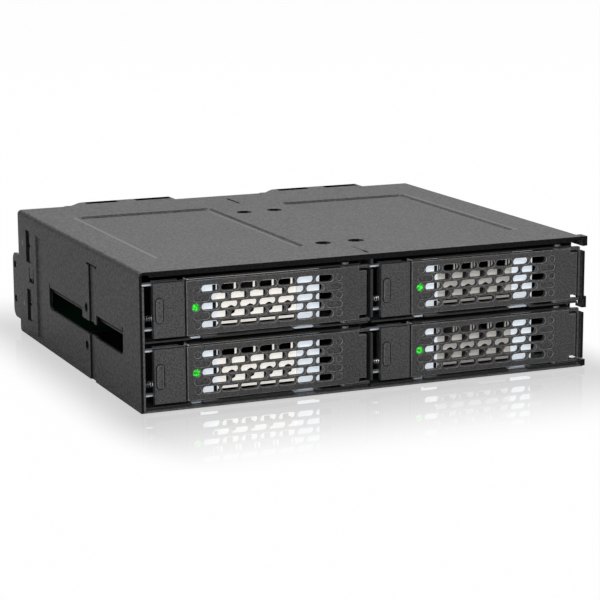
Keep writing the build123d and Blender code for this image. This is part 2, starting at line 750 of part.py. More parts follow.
for column in bay_left:
    for row in bay_floor:
        corner = (bay_left[column], front_y, bay_floor[row])
        place = f"{row}_{column}"

        # Folded tray: floor and low side rails, with the holes for a drive's screws
        with BuildPart() as tray_frame:
            with BuildSketch(level(running_gap, corner)):
                area(running_gap, tray_edge, tray_nose, tray_tail)
                for start, end in feet:
                    area(start - fit_gap, end + fit_gap, tray_nose, wall_back + fit_gap, mode=Mode.SUBTRACT)
                with Locations((hinge_x, hinge_setback)):
                    soft_round(pin_radius + pin_gap, mode=Mode.SUBTRACT)
                drive_hole_middle = drive_rear - drive_hole_from_rear - drive_hole_along / 2
                with Locations((bay_width / 2, drive_hole_middle)):
                    with GridLocations(drive_hole_across, drive_hole_along, 2, 2):
                        Circle(drive_hole_radius, mode=Mode.SUBTRACT)
            extrude(amount=tray_sheet)
            with BuildSketch(sideways(running_gap, corner)):
                area(wall_front, tray_tail, running_gap, rail_height)
                area(wall_front, cheek_depth, running_gap, cheek_height)
                area(spring_ear_front, cheek_depth, spring_ear_low, spring_ear_high)
            extrude(amount=tray_sheet)
            with BuildSketch(sideways(tray_edge, corner)):
                area(right_rail_front, tray_tail, running_gap, rail_height)
            extrude(amount=-tray_sheet)
        write(tray_frame.part, f"tray_frame_{place}")

        # Bright front plate: joggled wall with feet, a top flange and the two bars of the latch
        with BuildPart() as tray_front:
            with BuildSketch(level(drive_floor, corner)):
                for start, end, step in zip(wall_folds, wall_folds[1:], wall_steps):
                    area(start, end, wall_front - step, wall_back - step)
                for fold in wall_folds[1:-1]:
                    middle = (fold, wall_back - (wall_joggle + tray_sheet) / 2)
                    with Locations(middle):
                        Rectangle(tray_sheet, wall_joggle + tray_sheet)
            extrude(amount=flange_top - drive_floor)
            with BuildSketch(level(running_gap, corner)):
                for start, end in feet:
                    area(start, end, foot_front, wall_back)
            extrude(amount=tray_sheet)
            with BuildSketch(level(flange_low, corner)):
                area(wall_folds[0], flange_right, tray_nose, wall_back)
                with Locations((hinge_x, hinge_setback)):
                    soft_round(pin_radius + pin_gap, mode=Mode.SUBTRACT)
            extrude(amount=tray_sheet)
            for height in bar_heights:
                with BuildSketch(level(height, corner)):
                    area(running_gap, bar_right, bar_front, bar_rear)
                    area(wall_folds[0], bar_right, bar_rear, wall_back)
                extrude(amount=tray_sheet)
            with BuildSketch(upright(wall_front - fit_gap, corner)):
                for hole in range(wall_holes):
                    middle = wall_hole_first + hole * slot_pitch
                    with Locations((middle, (wall_hole_low + wall_hole_high) / 2)):
                        Rectangle(wall_hole_width, wall_hole_high - wall_hole_low)
                    with Locations((middle + wall_eye_shift, wall_eye_height)):
                        soft_round(wall_eye_radius)
                area(wall_window_left, wall_window_right, drive_floor, wall_window_high)
                with Locations((lens_x, catch_middle)):
                    soft_round(guide_radius)
            extrude(amount=-tray_sheet - 2 * fit_gap, mode=Mode.SUBTRACT)
        write(tray_front.part, f"tray_front_{place}")

        # Lever door: slotted plate, hinge barrel and the two hooks at its right end
        with BuildPart() as door:
            with BuildSketch(upright(face_setback, corner)):
                area(door_left, door_right, door_low, door_high)
                for low in (door_low, door_high - corner_notch_height):
                    area(
                        door_right - corner_notch_width,
                        door_right,
                        low,
                        low + corner_notch_height,
                        mode=Mode.SUBTRACT,
                    )
            extrude(amount=-door_thickness)
            with BuildSketch(upright(face_setback, corner)):
                with Locations(*slot_places):
                    Rectangle(slot_length, slot_height)
                with Locations((lens_x, face_middle)):
                    soft_round(lens_radius)
            extrude(amount=-door_thickness, mode=Mode.SUBTRACT)
            # Tongue behind the left edge, which stops at the latch's nose
            with BuildSketch(level(catch_middle - catch_height / 2, corner)):
                area(
                    door_left - latch_slit + running_gap,
                    door_left + catch_width,
                    door_back,
                    door_back + catch_depth,
                )
            extrude(amount=catch_height)
            for low in (hook_low, hook_high - hook_thickness):
                with BuildSketch(level(low, corner)):
                    Polygon(
                        (hinge_x, hinge_setback - hook_root),
                        (hinge_x + hook_reach, hinge_setback - hook_front),
                        (hinge_x + hook_reach, hinge_setback - hook_rear),
                        (hinge_x, hinge_setback + hook_root),
                        align=None,
                    )
                extrude(amount=hook_thickness)
            with BuildSketch(level(hook_low, corner)):
                with Locations((hinge_x, hinge_setback)):
                    soft_round(barrel_radius)
            extrude(amount=hook_high - hook_low)
            with BuildSketch(level(hook_low, corner)):
                with Locations((hinge_x, hinge_setback)):
                    Circle(pin_radius + pin_gap)
            extrude(amount=hook_high - hook_low, mode=Mode.SUBTRACT)
        write(door.part, f"door_{place}")

        # Latch: a slide button whose carriage runs between the two bars
        with BuildPart() as latch:
            with BuildSketch(upright(face_setback, corner)):
                area(latch_left, latch_left + latch_width, door_low, door_high)
            extrude(amount=-latch_thickness)
            with BuildSketch(upright(face_setback, corner)):
                with Locations((latch_left + ridge_across, face_middle)):
                    Rectangle(ridge_width, ridge_length)
            extrude(amount=ridge_height)
            with BuildSketch(upright(face_setback + latch_thickness, corner)):
                area(
                    carriage_left,
                    carriage_right,
                    bar_heights[0] + tray_sheet + running_gap,
                    bar_heights[1] - running_gap,
                )
            extrude(amount=-(carriage_rear - face_setback - latch_thickness))
            with BuildSketch(upright(carriage_rear, corner)):
                area(
                    carriage_left,
                    carriage_right,
                    bar_heights[0] - lip_reach,
                    bar_heights[1] + tray_sheet + lip_reach,
                )
            extrude(amount=lip_depth)
            with BuildSketch(level(catch_middle - catch_height / 2, corner)):
                latch_right = latch_left + latch_width
                latch_back = face_setback + latch_thickness
                area(latch_right - nose_width, latch_right, latch_back, latch_back + nose_depth)
            extrude(amount=catch_height)
            with BuildSketch(sideways(carriage_left, corner)):
                with Locations((spring_y, spring_middle)):
                    soft_round(spring_pocket_radius)
            extrude(amount=spring_pocket_depth, mode=Mode.SUBTRACT)
        write(latch.part, f"latch_{place}")

        with BuildPart() as latch_spring:
            with BuildSketch(sideways(running_gap + tray_sheet, corner)):
                with Locations((spring_y, spring_middle)):
                    soft_round(spring_radius)
                    soft_round(spring_bore, mode=Mode.SUBTRACT)
            extrude(amount=carriage_left + spring_pocket_depth - running_gap - tray_sheet)
        write(latch_spring.part, f"latch_spring_{place}")

        with BuildPart() as hinge_pin:
            with BuildSketch(level(running_gap, corner)):
                with Locations((hinge_x, hinge_setback)):
                    Circle(pin_radius)
            extrude(amount=flange_top - running_gap)
            with BuildSketch(level(flange_top, corner)):
                with Locations((hinge_x, hinge_setback)):
                    soft_round(pin_head_radius)
            extrude(amount=pin_head_height)
        write(hinge_pin.part, f"hinge_pin_{place}")

        with BuildPart() as indicator_lens:
            with BuildSketch(upright(face_setback, corner)):
                with Locations((lens_x, face_middle)):
                    soft_round(lens_radius)
            extrude(amount=-door_thickness)
        write(indicator_lens.part, f"indicator_lens_{place}")

        with BuildPart() as light_guide:
            with BuildSketch(upright(door_back + guide_gap, corner)):
                with Locations((lens_x, catch_middle)):
                    soft_round(guide_radius)
            extrude(amount=-(guide_tail - door_back - guide_gap))
        write(light_guide.part, f"light_guide_{place}")
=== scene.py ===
"""Looks of the hot swap drive cage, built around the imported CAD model, in metres."""

import math

import bmesh
import bpy
from mathutils import Matrix, Vector


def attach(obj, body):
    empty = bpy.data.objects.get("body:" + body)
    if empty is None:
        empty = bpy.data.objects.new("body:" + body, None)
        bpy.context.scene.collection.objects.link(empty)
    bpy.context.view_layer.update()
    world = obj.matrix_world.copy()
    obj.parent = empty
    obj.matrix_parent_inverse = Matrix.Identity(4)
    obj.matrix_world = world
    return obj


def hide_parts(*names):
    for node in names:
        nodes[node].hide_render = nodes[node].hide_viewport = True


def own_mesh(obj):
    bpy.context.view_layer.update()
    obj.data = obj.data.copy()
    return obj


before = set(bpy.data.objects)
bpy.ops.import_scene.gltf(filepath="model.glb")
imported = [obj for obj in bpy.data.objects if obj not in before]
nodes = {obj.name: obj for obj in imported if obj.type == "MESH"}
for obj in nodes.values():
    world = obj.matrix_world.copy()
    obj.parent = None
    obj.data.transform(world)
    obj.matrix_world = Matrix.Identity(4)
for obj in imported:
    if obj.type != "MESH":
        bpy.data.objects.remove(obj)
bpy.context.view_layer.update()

# Camera and light: a long lens from the front left, a little above the top. A wide soft box hangs behind
# and right of the cage and lights its top, and a weaker one at the front left lights doors and side.
camera_place = Vector((-0.26658, -0.63037, 0.15499))
camera_turn = 0.4047
camera_dip = 0.2007
camera_roll = -0.0050
camera_lens = 128.83
camera_sensor = 36
camera_reach = 20
top_box_place = (0.35, 0.45, 0.95)
top_box_size = (1.2, 1.0)
top_box_power = 12.5
front_box_place = (-0.3, -0.9, 0.45)
front_box_size = (0.8, 0.5)
front_box_power = 5.2
sky_strength = 0.18
white = (1, 1, 1, 1)

camera_data = bpy.data.cameras.new("photo_camera")
camera_data.lens = camera_lens
camera_data.sensor_width = camera_sensor
camera_data.clip_end = camera_reach
camera = bpy.data.objects.new("photo_camera", camera_data)
ahead = Vector((math.sin(camera_turn), math.cos(camera_turn), -math.tan(camera_dip)))
facing = ahead.to_track_quat("-Z", "Y").to_matrix().to_4x4()
camera.matrix_world = Matrix.Translation(camera_place) @ facing @ Matrix.Rotation(camera_roll, 4, "Z")
bpy.context.scene.collection.objects.link(camera)
bpy.context.scene.camera = camera


def soft_box(name, place, size, power):
    """A rectangular studio lamp that faces the cage."""
    data = bpy.data.lights.new(name, "AREA")
    data.shape = "RECTANGLE"
    data.size, data.size_y = size
    data.energy = power
    lamp = bpy.data.objects.new(name, data)
    lamp.location = place
    lamp.rotation_euler = (-Vector(place)).to_track_quat("-Z", "Y").to_euler()
    bpy.context.scene.collection.objects.link(lamp)


soft_box("top_box", top_box_place, top_box_size, top_box_power)
soft_box("front_box", front_box_place, front_box_size, front_box_power)

world = bpy.data.worlds.new("studio")
bpy.context.scene.world = world
world.use_nodes = True
world_nodes = world.node_tree.nodes
world_nodes.clear()
world_out = world_nodes.new("ShaderNodeOutputWorld")
dim_sky = world_nodes.new("ShaderNodeBackground")
white_sky = world_nodes.new("ShaderNodeBackground")
sky_mix = world_nodes.new("ShaderNodeMixShader")
sky_ray = world_nodes.new("ShaderNodeLightPath")
for background in (dim_sky, white_sky):
    background.inputs["Color"].default_value = white
dim_sky.inputs["Strength"].default_value = sky_strength
world.node_tree.links.new(sky_ray.outputs["Is Camera Ray"], sky_mix.inputs["Fac"])
world.node_tree.links.new(dim_sky.outputs[0], sky_mix.inputs[1])
world.node_tree.links.new(white_sky.outputs[0], sky_mix.inputs[2])
world.node_tree.links.new(sky_mix.outputs[0], world_out.inputs["Surface"])
bpy.context.scene.view_settings.view_transform = "Standard"

# Table: pale and glossy, with a faint mirror image of the cage that fades away from its front, and sooner
# from its sides. The table is white further out.
floor_half = 3.0
floor_drop = 0.0003
mirror_share = 0.38
mirror_reach = 0.068
mirror_stretch = (3, 1, 1)
mirror_roughness = 0.03
table_grey = (0.6, 0.6, 0.6, 1)
paper_share = 0.985
foot_half = (0.073, 0.0624, 1)


def new_material(name):
    """A material with an empty node tree, and a function that adds a node, sets it and feeds its inputs."""
    material = bpy.data.materials.new(name)
    material.use_nodes = True
    tree = material.node_tree
    tree.nodes.clear()

    def add(kind, feeds=None, **values):
        node = tree.nodes.new("ShaderNode" + kind)
        for key, value in values.items():
            if key in node.inputs:
                node.inputs[key].default_value = value
            else:
                setattr(node, key, value)
        for key, feed in (feeds or {}).items():
            if isinstance(feed, bpy.types.NodeSocket):
                tree.links.new(feed, node.inputs[key])
            else:
                node.inputs[key].default_value = feed
        return node

    return material, add


def ramp(add, value, low, high, out_low, out_high, smooth=False):
    """A value stretched from one range to another."""
    spans = {"Value": value, "From Min": low, "From Max": high, "To Min": out_low, "To Max": out_high}
    return add("MapRange", spans, interpolation_type="SMOOTHSTEP" if smooth else "LINEAR").outputs["Result"]


def glossy_white():
    """White in the camera's view and grey to other rays, with a mirror share that fades off the foot."""
    material, add = new_material("table_white")
    place = add("NewGeometry").outputs["Position"]
    away = add("VectorMath", {0: place}, operation="ABSOLUTE").outputs[0]
    past = add("VectorMath", {0: away, 1: foot_half}, operation="SUBTRACT").outputs[0]
    outside = add("VectorMath", {0: past, 1: (0, 0, 0)}, operation="MAXIMUM").outputs[0]
    stretched = add("VectorMath", {0: outside, 1: mirror_stretch}, operation="MULTIPLY").outputs[0]
    distance = add("VectorMath", {0: stretched}, operation="LENGTH").outputs["Value"]
    fade = ramp(add, distance, 0, mirror_reach, mirror_share, 0, smooth=True)
    seen = add("LightPath").outputs["Is Camera Ray"]
    seen_share = ramp(add, seen, 0, 1, 0, paper_share)
    matt = add("BsdfDiffuse", Color=table_grey).outputs[0]
    glow = add("Emission", Color=white, Strength=1.0).outputs[0]
    paper = add("MixShader", {"Fac": seen_share, 1: matt, 2: glow}).outputs[0]
    mirror = add("BsdfGlossy", Color=white, Roughness=mirror_roughness).outputs[0]
    table = add("MixShader", {"Fac": fade, 1: paper, 2: mirror}).outputs[0]
    add("OutputMaterial", {"Surface": table})
    return material


floor_mesh = bpy.data.meshes.new("floor")
floor_corners = ((-1, -1), (1, -1), (1, 1), (-1, 1))
floor_points = [(x * floor_half, y * floor_half, -floor_drop) for x, y in floor_corners]
floor_mesh.from_pydata(floor_points, [], [(0, 1, 2, 3)])
floor = bpy.data.objects.new("floor", floor_mesh)
bpy.context.scene.collection.objects.link(floor)
floor_mesh.materials.append(glossy_white())

# Outer cover: top and sides folded from one sheet of steel, powder coated dark grey with a fine even
# grain. Its front and rear edges are painted nearly black, a painted shade, and the long borders of the
# panels pressed into its top are painted a little lighter, a painted highlight.
cover_color = (0.060, 0.059, 0.060)
cover_light = (0.095, 0.094, 0.095)
cover_grain = 0.0004
cover_bump = 0.8
cover_edge = 0.00012
# Painted shade: faces of the cover that look to the front or rear are mixed towards near-black paint.
cover_edge_shade = 0.9
edge_shade_paint = (0.004, 0.004, 0.004, 1)
edge_shade_steep = (0.45, 0.85)
pit_share = 0.6
speck_span = (0.42, 0.58)
cloud_scale = 35.0
gloss_swing = 0.06
# Painted highlight: a lighter colour along the long borders of the pressed panels, for the light on their
# slopes.
press_highlight = (0.15, 0.15, 0.15, 1)
press_along = (-0.0425, 0.0385)
press_sides = ((-0.0610, -0.0600), (0.0126, 0.0136), (-0.0142, -0.0132), (0.0594, 0.0604))
press_edges = [(across, press_along) for across in press_sides]


def reckon(add, operation, first, second):
    """The result of a sum with two values."""
    return add("Math", {0: first, 1: second}, operation=operation).outputs[0]


def compare(add, value, low, high):
    """1 where a value lies between two limits, else 0."""
    over = reckon(add, "GREATER_THAN", value, low)
    under = reckon(add, "LESS_THAN", value, high)
    return reckon(add, "MULTIPLY", over, under)


def blend(add, share, first, second):
    """A colour between two others."""
    return add("Mix", {"Factor": share, "A": first, "B": second}, data_type="RGBA").outputs["Result"]


def powder_coat(name, color, light, grain=0.00035, bump=0.25, roughness=0.55, edge_shade=0.0, lit_places=()):
    """Dark coat with a fine grain in colour, gloss and relief.

    Its front and rear edges can be painted black, as painted shade. It is painted lighter inside the lit
    places, as a painted highlight; these are limits along X and along Y.
    """
    material, add = new_material(name)
    place = add("TexCoord").outputs["Object"]
    speck = add("TexNoise", {"Vector": place}, Scale=0.5 / grain, Detail=3.0, Roughness=0.6).outputs["Fac"]
    cloud = add("TexNoise", {"Vector": place}, Scale=cloud_scale, Detail=2.0).outputs["Fac"]
    pits = (*[pit_share * c for c in color], 1)
    shade = blend(add, ramp(add, speck, *speck_span, 0, 1), pits, (*light, 1))
    axes = add("SeparateXYZ", {"Vector": place}).outputs
    # Painted highlight inside the lit places.
    for across, along in lit_places:
        beside = compare(add, axes["X"], *across)
        inside = reckon(add, "MULTIPLY", beside, compare(add, axes["Y"], *along))
        shade = blend(add, inside, shade, press_highlight)
    gloss = ramp(add, cloud, 0, 1, roughness - gloss_swing, roughness + gloss_swing)
    relief = add("Bump", {"Height": speck}, Strength=bump, Distance=0.0003).outputs[0]
    slant = add("SeparateXYZ", {"Vector": add("TexCoord").outputs["Normal"]}).outputs["Y"]
    steep = add("Math", {0: slant}, operation="ABSOLUTE").outputs[0]
    paint = add("BsdfPrincipled", {"Base Color": shade, "Roughness": gloss, "Normal": relief}).outputs[0]
    # Painted shade: near-black paint mixed in on faces that look to the front or rear.
    black = add("BsdfDiffuse", Color=edge_shade_paint).outputs[0]
    edge_shade_mask = ramp(add, steep, *edge_shade_steep, 0, edge_shade)
    coat = add("MixShader", {"Fac": edge_shade_mask, 1: paint, 2: black}).outputs[0]
    add("OutputMaterial", {"Surface": coat})
    return material


def dress(node, material):
    """Gives a CAD node its material."""
    thing = nodes[node]
    thing.data.materials.clear()
    thing.data.materials.append(material)
    return thing


def soften(thing, width, segments=2):
    """Rounds the sharp edges of a piece by a modifier, so that they catch the light."""
    bevel = thing.modifiers.new("edge_round", "BEVEL")
    bevel.width = width
    bevel.segments = segments
    bevel.limit_method = "ANGLE"
    bevel.angle_limit = math.radians(40)


cover_coat = powder_coat(
    "cover_coat", cover_color, cover_light, cover_grain, cover_bump, edge_shade=cover_edge_shade,
    lit_places=press_edges,
)
soften(dress("outer_cover", cover_coat), cover_edge)

# Base pan, divider, shelves and rear panel: folded steel sheets in a dark coat. The inner sheets lie in
# the dark of the bays. The pan's coat is lighter, because its front lip catches the light.
inner_color = (0.022, 0.022, 0.023)
inner_light = (0.03, 0.03, 0.031)
pan_color = (0.10, 0.10, 0.10)
pan_light = (0.12, 0.12, 0.12)
pan_edge = 0.0001
sheet_edge = 0.00008

inner_coat = powder_coat("inner_coat", inner_color, inner_light)
pan_coat = powder_coat("pan_coat", pan_color, pan_light)
soften(dress("base_pan", pan_coat), pan_edge)
for node in ("center_divider", "shelf_left", "shelf_right", "rear_panel"):
    soften(dress(node, inner_coat), sheet_edge)

# Rivets: low steel heads in both side walls near the rear, one above the other. They hold the side
# flanges of the rear panel to the cover.
rivet_rows = ((57.0, 10.5), (57.0, 31.0))
rivet_radius = 0.9
rivet_rise = 0.12
rivet_foot = -0.3
rivet_shoulder = 0.3
rivet_crown = 0.7
wall_outside = 73.0
# Faces that slant this much between front and sides get the painted edge highlight.
slanted = (0.2, 0.95)
MM = 0.001
ways = {
    "up": Matrix(((1, 0, 0, 0), (0, 1, 0, 0), (0, 0, 1, 0), (0, 0, 0, 1))),
    "front": Matrix(((1, 0, 0, 0), (0, 0, -1, 0), (0, 1, 0, 0), (0, 0, 0, 1))),
    "rear": Matrix(((-1, 0, 0, 0), (0, 0, 1, 0), (0, 1, 0, 0), (0, 0, 0, 1))),
    "right": Matrix(((0, 0, 1, 0), (1, 0, 0, 0), (0, 1, 0, 0), (0, 0, 0, 1))),
    "left": Matrix(((0, 0, -1, 0), (-1, 0, 0, 0), (0, 1, 0, 0), (0, 0, 0, 1))),
}


def to_mesh(build, name):
    """The mesh of what was built, which is then let go."""
    mesh = bpy.data.meshes.new(name)
    build.to_mesh(mesh)
    build.free()
    return mesh


def turned(profile, way, place, sides=24):
    """A mesh turned from a profile of radius and height pairs in millimetres, about a line one way."""
    build = bmesh.new()
    turns = [2 * math.pi * i / sides for i in range(sides)]
    rings = []
    for radius, height in profile:
        if radius == 0:
            rings.append([build.verts.new((0, 0, height))] * sides)
        else:
            points = [(radius * math.cos(t), radius * math.sin(t), height) for t in turns]
            rings.append([build.verts.new(point) for point in points])
    for low, high in zip(rings, rings[1:]):
        for i in range(sides):
            corners = (low[i], low[(i + 1) % sides], high[(i + 1) % sides], high[i])
            build.faces.new(list(dict.fromkeys(corners)))
    mesh = to_mesh(build, "turned")
    mesh.transform(Matrix.Scale(MM, 4) @ Matrix.Translation(place) @ ways[way])
    return mesh


def piece(name, meshes, material, body, smooth=35, highlight_material=None):
    """One object from several meshes, with its material, that rides on a body.

    With a highlight material, the faces that slant between front and sides get it, as a painted highlight.
    """
    build = bmesh.new()
    for mesh in meshes:
        build.from_mesh(mesh)
    whole = to_mesh(build, name)
    for mesh in meshes:
        bpy.data.meshes.remove(mesh)
    whole.materials.append(material)
    if highlight_material:
        whole.materials.append(highlight_material)
        for face in whole.polygons:
            face.material_index = int(slanted[0] < -face.normal.y < slanted[1])
    whole.shade_smooth()
    thing = bpy.data.objects.new(name, whole)
    bpy.context.scene.collection.objects.link(thing)
    split = thing.modifiers.new("crisp_edges", "EDGE_SPLIT")
    split.split_angle = math.radians(smooth)
    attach(thing, body)
    return thing


def brushed(name, color, low, high):
    """Bare or plated metal with uneven gloss."""
    material, add = new_material(name)
    place = add("TexCoord").outputs["Object"]
    streak = add("TexNoise", {"Vector": place}, Scale=120.0, Detail=4.0).outputs["Fac"]
    gloss = ramp(add, streak, 0.3, 0.7, low, high)
    metal = add("BsdfPrincipled", {"Roughness": gloss, "Base Color": (*color, 1)}, Metallic=1.0)
    add("OutputMaterial", {"Surface": metal.outputs[0]})
    return material


rivet_steel = brushed("rivet_steel", (0.2, 0.2, 0.21), 0.3, 0.45)
dome = [
    (rivet_radius, rivet_foot), (rivet_radius, rivet_shoulder * rivet_rise),
    (rivet_crown * rivet_radius, rivet_rise), (0, rivet_rise),
]
rivets = []
for y, z in rivet_rows:
    rivets.append(turned(dome, "left", (-wall_outside, y, z)))
    rivets.append(turned(dome, "right", (wall_outside, y, z)))
piece("panel_rivets", rivets, rivet_steel, "cage")

# Backplane: a green circuit board with black sockets, screwed to a bare steel bracket whose flange shows
# in the small windows at the rear of the side walls.
board_dark = (0.004, 0.03, 0.014, 1)
board_light = (0.008, 0.055, 0.025, 1)
socket_color = (0.02, 0.02, 0.02)
socket_roughness = 0.45
# Painted shade: near-black matt paint for moulded parts above a given height, the tops of the fan pads.
pad_shade_paint = (0.003, 0.003, 0.003, 1)
bracket_edge = 0.0001
socket_edge = 0.0001


def board_green():
    """Green solder mask with faint patches."""
    material, add = new_material("solder_mask")
    place = add("TexCoord").outputs["Object"]
    patch = add("TexNoise", {"Vector": place}, Scale=600.0, Detail=2.0).outputs["Fac"]
    green = blend(add, patch, board_dark, board_light)
    mask = add("BsdfPrincipled", {"Base Color": green}, Roughness=0.3)
    add("OutputMaterial", {"Surface": mask.outputs[0]})
    return material


def moulded(name, color, roughness, grain=0.0003, shaded_above=1):
    """Black moulded plastic with a faint grain. Above a height it is painted near-black and matt, as painted
    shade.
    """
    material, add = new_material(name)
    place = add("TexCoord").outputs["Object"]
    speck = add("TexNoise", {"Vector": place}, Scale=1 / grain, Detail=2.0).outputs["Fac"]
    shade = blend(add, speck, (*[c * 0.85 for c in color], 1), (*[c * 1.15 for c in color], 1))
    relief = add("Bump", {"Height": speck}, Strength=0.1, Distance=0.0001).outputs[0]
    plastic = add("BsdfPrincipled", {"Base Color": shade, "Normal": relief}, Roughness=roughness).outputs[0]
    matt = add("BsdfDiffuse", Color=pad_shade_paint).outputs[0]
    height = add("SeparateXYZ", {"Vector": place}).outputs["Z"]
    high_up = compare(add, height, shaded_above, shaded_above + 1)
    both = add("MixShader", {"Fac": high_up, 1: plastic, 2: matt}).outputs[0]
    add("OutputMaterial", {"Surface": both})
    return material


bracket_steel = brushed("bracket_steel", (0.46, 0.5, 0.56), 0.3, 0.45)
soften(dress("backplane_bracket", bracket_steel), bracket_edge)
dress("backplane_board", board_green())
socket_black = moulded("socket_black", socket_color, socket_roughness)
for node in ("drive_connectors", "data_connectors", "power_connectors"):
    soften(dress(node, socket_black), socket_edge)

# Screws: steel pan heads with a cross recess. Four hold the board to its bracket, and four hold each fan
# through the corners of its housing.
screw_radius = 2.7
screw_rise = 1.0
screw_foot_edge = 0.05
screw_head_edge = 0.25
cross_reach = 1.5
cross_half = 0.35
cross_depth = 0.7
fan_across = 36.0
fan_rear = 68.85
fan_low = 20.4
fan_hole_half = 16.0
board_front = 48.65
board_screw_places = ((-66.5, 5.0), (-66.5, 35.5), (66.5, 5.0), (66.5, 35.5))


def flat_piece(rings, way, low, high, edge):
    """A flat mesh with rounded edges in millimetres, between two heights along the way it faces.

    The first ring of points is its outline, and the others are cut out of it.
    """
    curve = bpy.data.curves.new("flat_piece", "CURVE")
    curve.dimensions = "2D"
    curve.fill_mode = "BOTH"
    curve.extrude = (high - low) / 2 - edge
    curve.bevel_depth = edge
    curve.bevel_resolution = 1
    curve.offset = -edge
    for index, ring in enumerate(rings):
        area = sum(a[0] * b[1] - b[0] * a[1] for a, b in zip(ring, ring[1:] + ring[:1]))
        points = ring if (area > 0) == (index == 0) else ring[::-1]
        spline = curve.splines.new("POLY")
        spline.points.add(len(points) - 1)
        spline.points.foreach_set("co", [c for u, v in points for c in (u, v, 0, 1)])
        spline.use_cyclic_u = True
    holder = bpy.data.objects.new("flat_piece", curve)
    mesh = bpy.data.meshes.new_from_object(holder)
    bpy.data.objects.remove(holder)
    bpy.data.curves.remove(curve)
    mesh.transform(Matrix.Scale(MM, 4) @ ways[way] @ Matrix.Translation((0, 0, (low + high) / 2)))
    return mesh


def pill(u, v, length, width, steps=8):
    """A ring of points with round ends. With its length equal to its width it is a circle."""
    radius = width / 2
    ring = []
    for side in (1, -1):
        for i in range(steps + 1):
            turn = math.pi * (i / steps - 0.5)
            across = side * ((length - width) / 2 + radius * math.cos(turn))
            ring.append((u + across, v + side * radius * math.sin(turn)))
    if length == width:
        del ring[steps], ring[-1]
    return ring


def cross(u, v, reach, half):
    """The outline of a cross recess."""
    corners = ((reach, -half), (reach, half), (half, half), (half, reach))
    quarters = ((1, 0), (0, 1), (-1, 0), (0, -1))
    return [(u + a * c - b * s, v + a * s + b * c) for c, s in quarters for a, b in corners]


def screw_head(way, u, v, seat):
    """A pan head that stands on a seat, in two layers of which the outer one has the cross recess."""
    ring = pill(u, v, 2 * screw_radius, 2 * screw_radius)
    recess = cross(u, v, cross_reach, cross_half)
    recess_floor = seat + screw_rise - cross_depth
    return [
        flat_piece([ring], way, seat, recess_floor, screw_foot_edge),
        flat_piece([ring, recess], way, recess_floor, seat + screw_rise, screw_head_edge),
    ]


screw_steel = brushed("screw_steel", (0.25, 0.25, 0.26), 0.3, 0.42)
board_screws = []
for x, z in board_screw_places:
    board_screws += screw_head("front", x, z, -board_front)
piece("board_screws", board_screws, screw_steel, "cage")
fan_screws = []
for center in (-fan_across, fan_across):
    for u, v in ((-1, -1), (1, -1), (1, 1), (-1, 1)):
        fan_screws += screw_head("rear", -center + u * fan_hole_half, fan_low + v * fan_hole_half, fan_rear)
piece("fan_screws", fan_screws, screw_steel, "cage")

# Fans: black moulded housings and impellers, screwed to the rear panel. Pads on top of the housings stand
# up into the notches of the cover's rear tabs, and their tops are painted near-black and matt, as painted
# shade.
pad_low = 0.0406
fan_color = (0.010, 0.010, 0.011)
fan_roughness = 0.6
housing_edge = 0.0002
impeller_edge = 0.0001

fan_black = moulded("fan_black", fan_color, fan_roughness, shaded_above=pad_low)
for side in ("left", "right"):
    soften(dress(f"fan_frame_{side}", fan_black), housing_edge)
    soften(dress(f"fan_rotor_{side}", fan_black), impeller_edge)

# Trays: black folded frames, each with a bright plated plate behind its door, folded back and forward and
# punched. The finer punching is painted into its material as painted shade, and some of the brightness
# that the plate has between the slots is painted light in its material: a glow and a tint.
bay_left = {"left": -71.6, "right": 0.4}
bay_floor = {"lower": 0.6, "upper": 20.0}
bay_step = bay_left["right"] - bay_left["left"]
bay_rise = bay_floor["upper"] - bay_floor["lower"]
bays = [(f"{row}_{column}", x, z) for row, z in bay_floor.items() for column, x in bay_left.items()]
front_y = -62.35
wall_edge = 0.00008
# Painted light: the plate is cooler in front and warmer where it is set back, both as plating colour and as a
# tint of light; the same tint colours its glow.
cool_plating_and_light = (0.86, 0.93, 1.0, 1)
warm_plating_and_light = (1.0, 0.96, 0.9, 1)
# Dark colour for the painted shade in the punched holes, the painted shadow along the fold, and the flange.
wall_dark = (0.012, 0.012, 0.012, 1)
wall_depths = (4.5, 5.3)
# Painted light: a glow on faces towards the door, above the foot and between limits across the tray, weaker
# in the right trays, for the light through the slots.
painted_glow = 0.6
painted_glow_span = (15.0, 60.0)
painted_glow_foot = (1.0, 1.1)
painted_glow_slant = (-2, -0.1)
right_glow_share = 0.2
flange_low = 17.9
hole_pitch = 5.99
hole_first = 26.46
pitches_back = 20
# Painted shade: dark marks where the plate's finer holes are, as limits within a hole pitch and up the bay.
punched = (
    ((0.4, 2.3), (10.2, 12.5)),
    ((0.4, 2.3), (4.9, 7.2)),
    ((3.8, 4.3), (12.9, 15.2)),
    ((0.0, 5.99), (3.85, 4.5)),
    ((0.0, 5.99), (1.0, 3.1)),
)
# Painted shadow: a dark line along the fold of the plate, in three bands up the wall.
fold_shadow_line = (22.5, 23.6)
fold_shadow_rows = ((2.2, 4.4), (7.6, 9.9), (12.9, 15.2))


def dark_where(add, marks, start):
    """The larger of a value and 1 inside any of the marks, which are limits across and up the wall."""
    for across, up in marks:
        beside = compare(add, *across)
        inside = reckon(add, "MULTIPLY", beside, compare(add, *up))
        start = reckon(add, "MAXIMUM", start, inside)
    return start


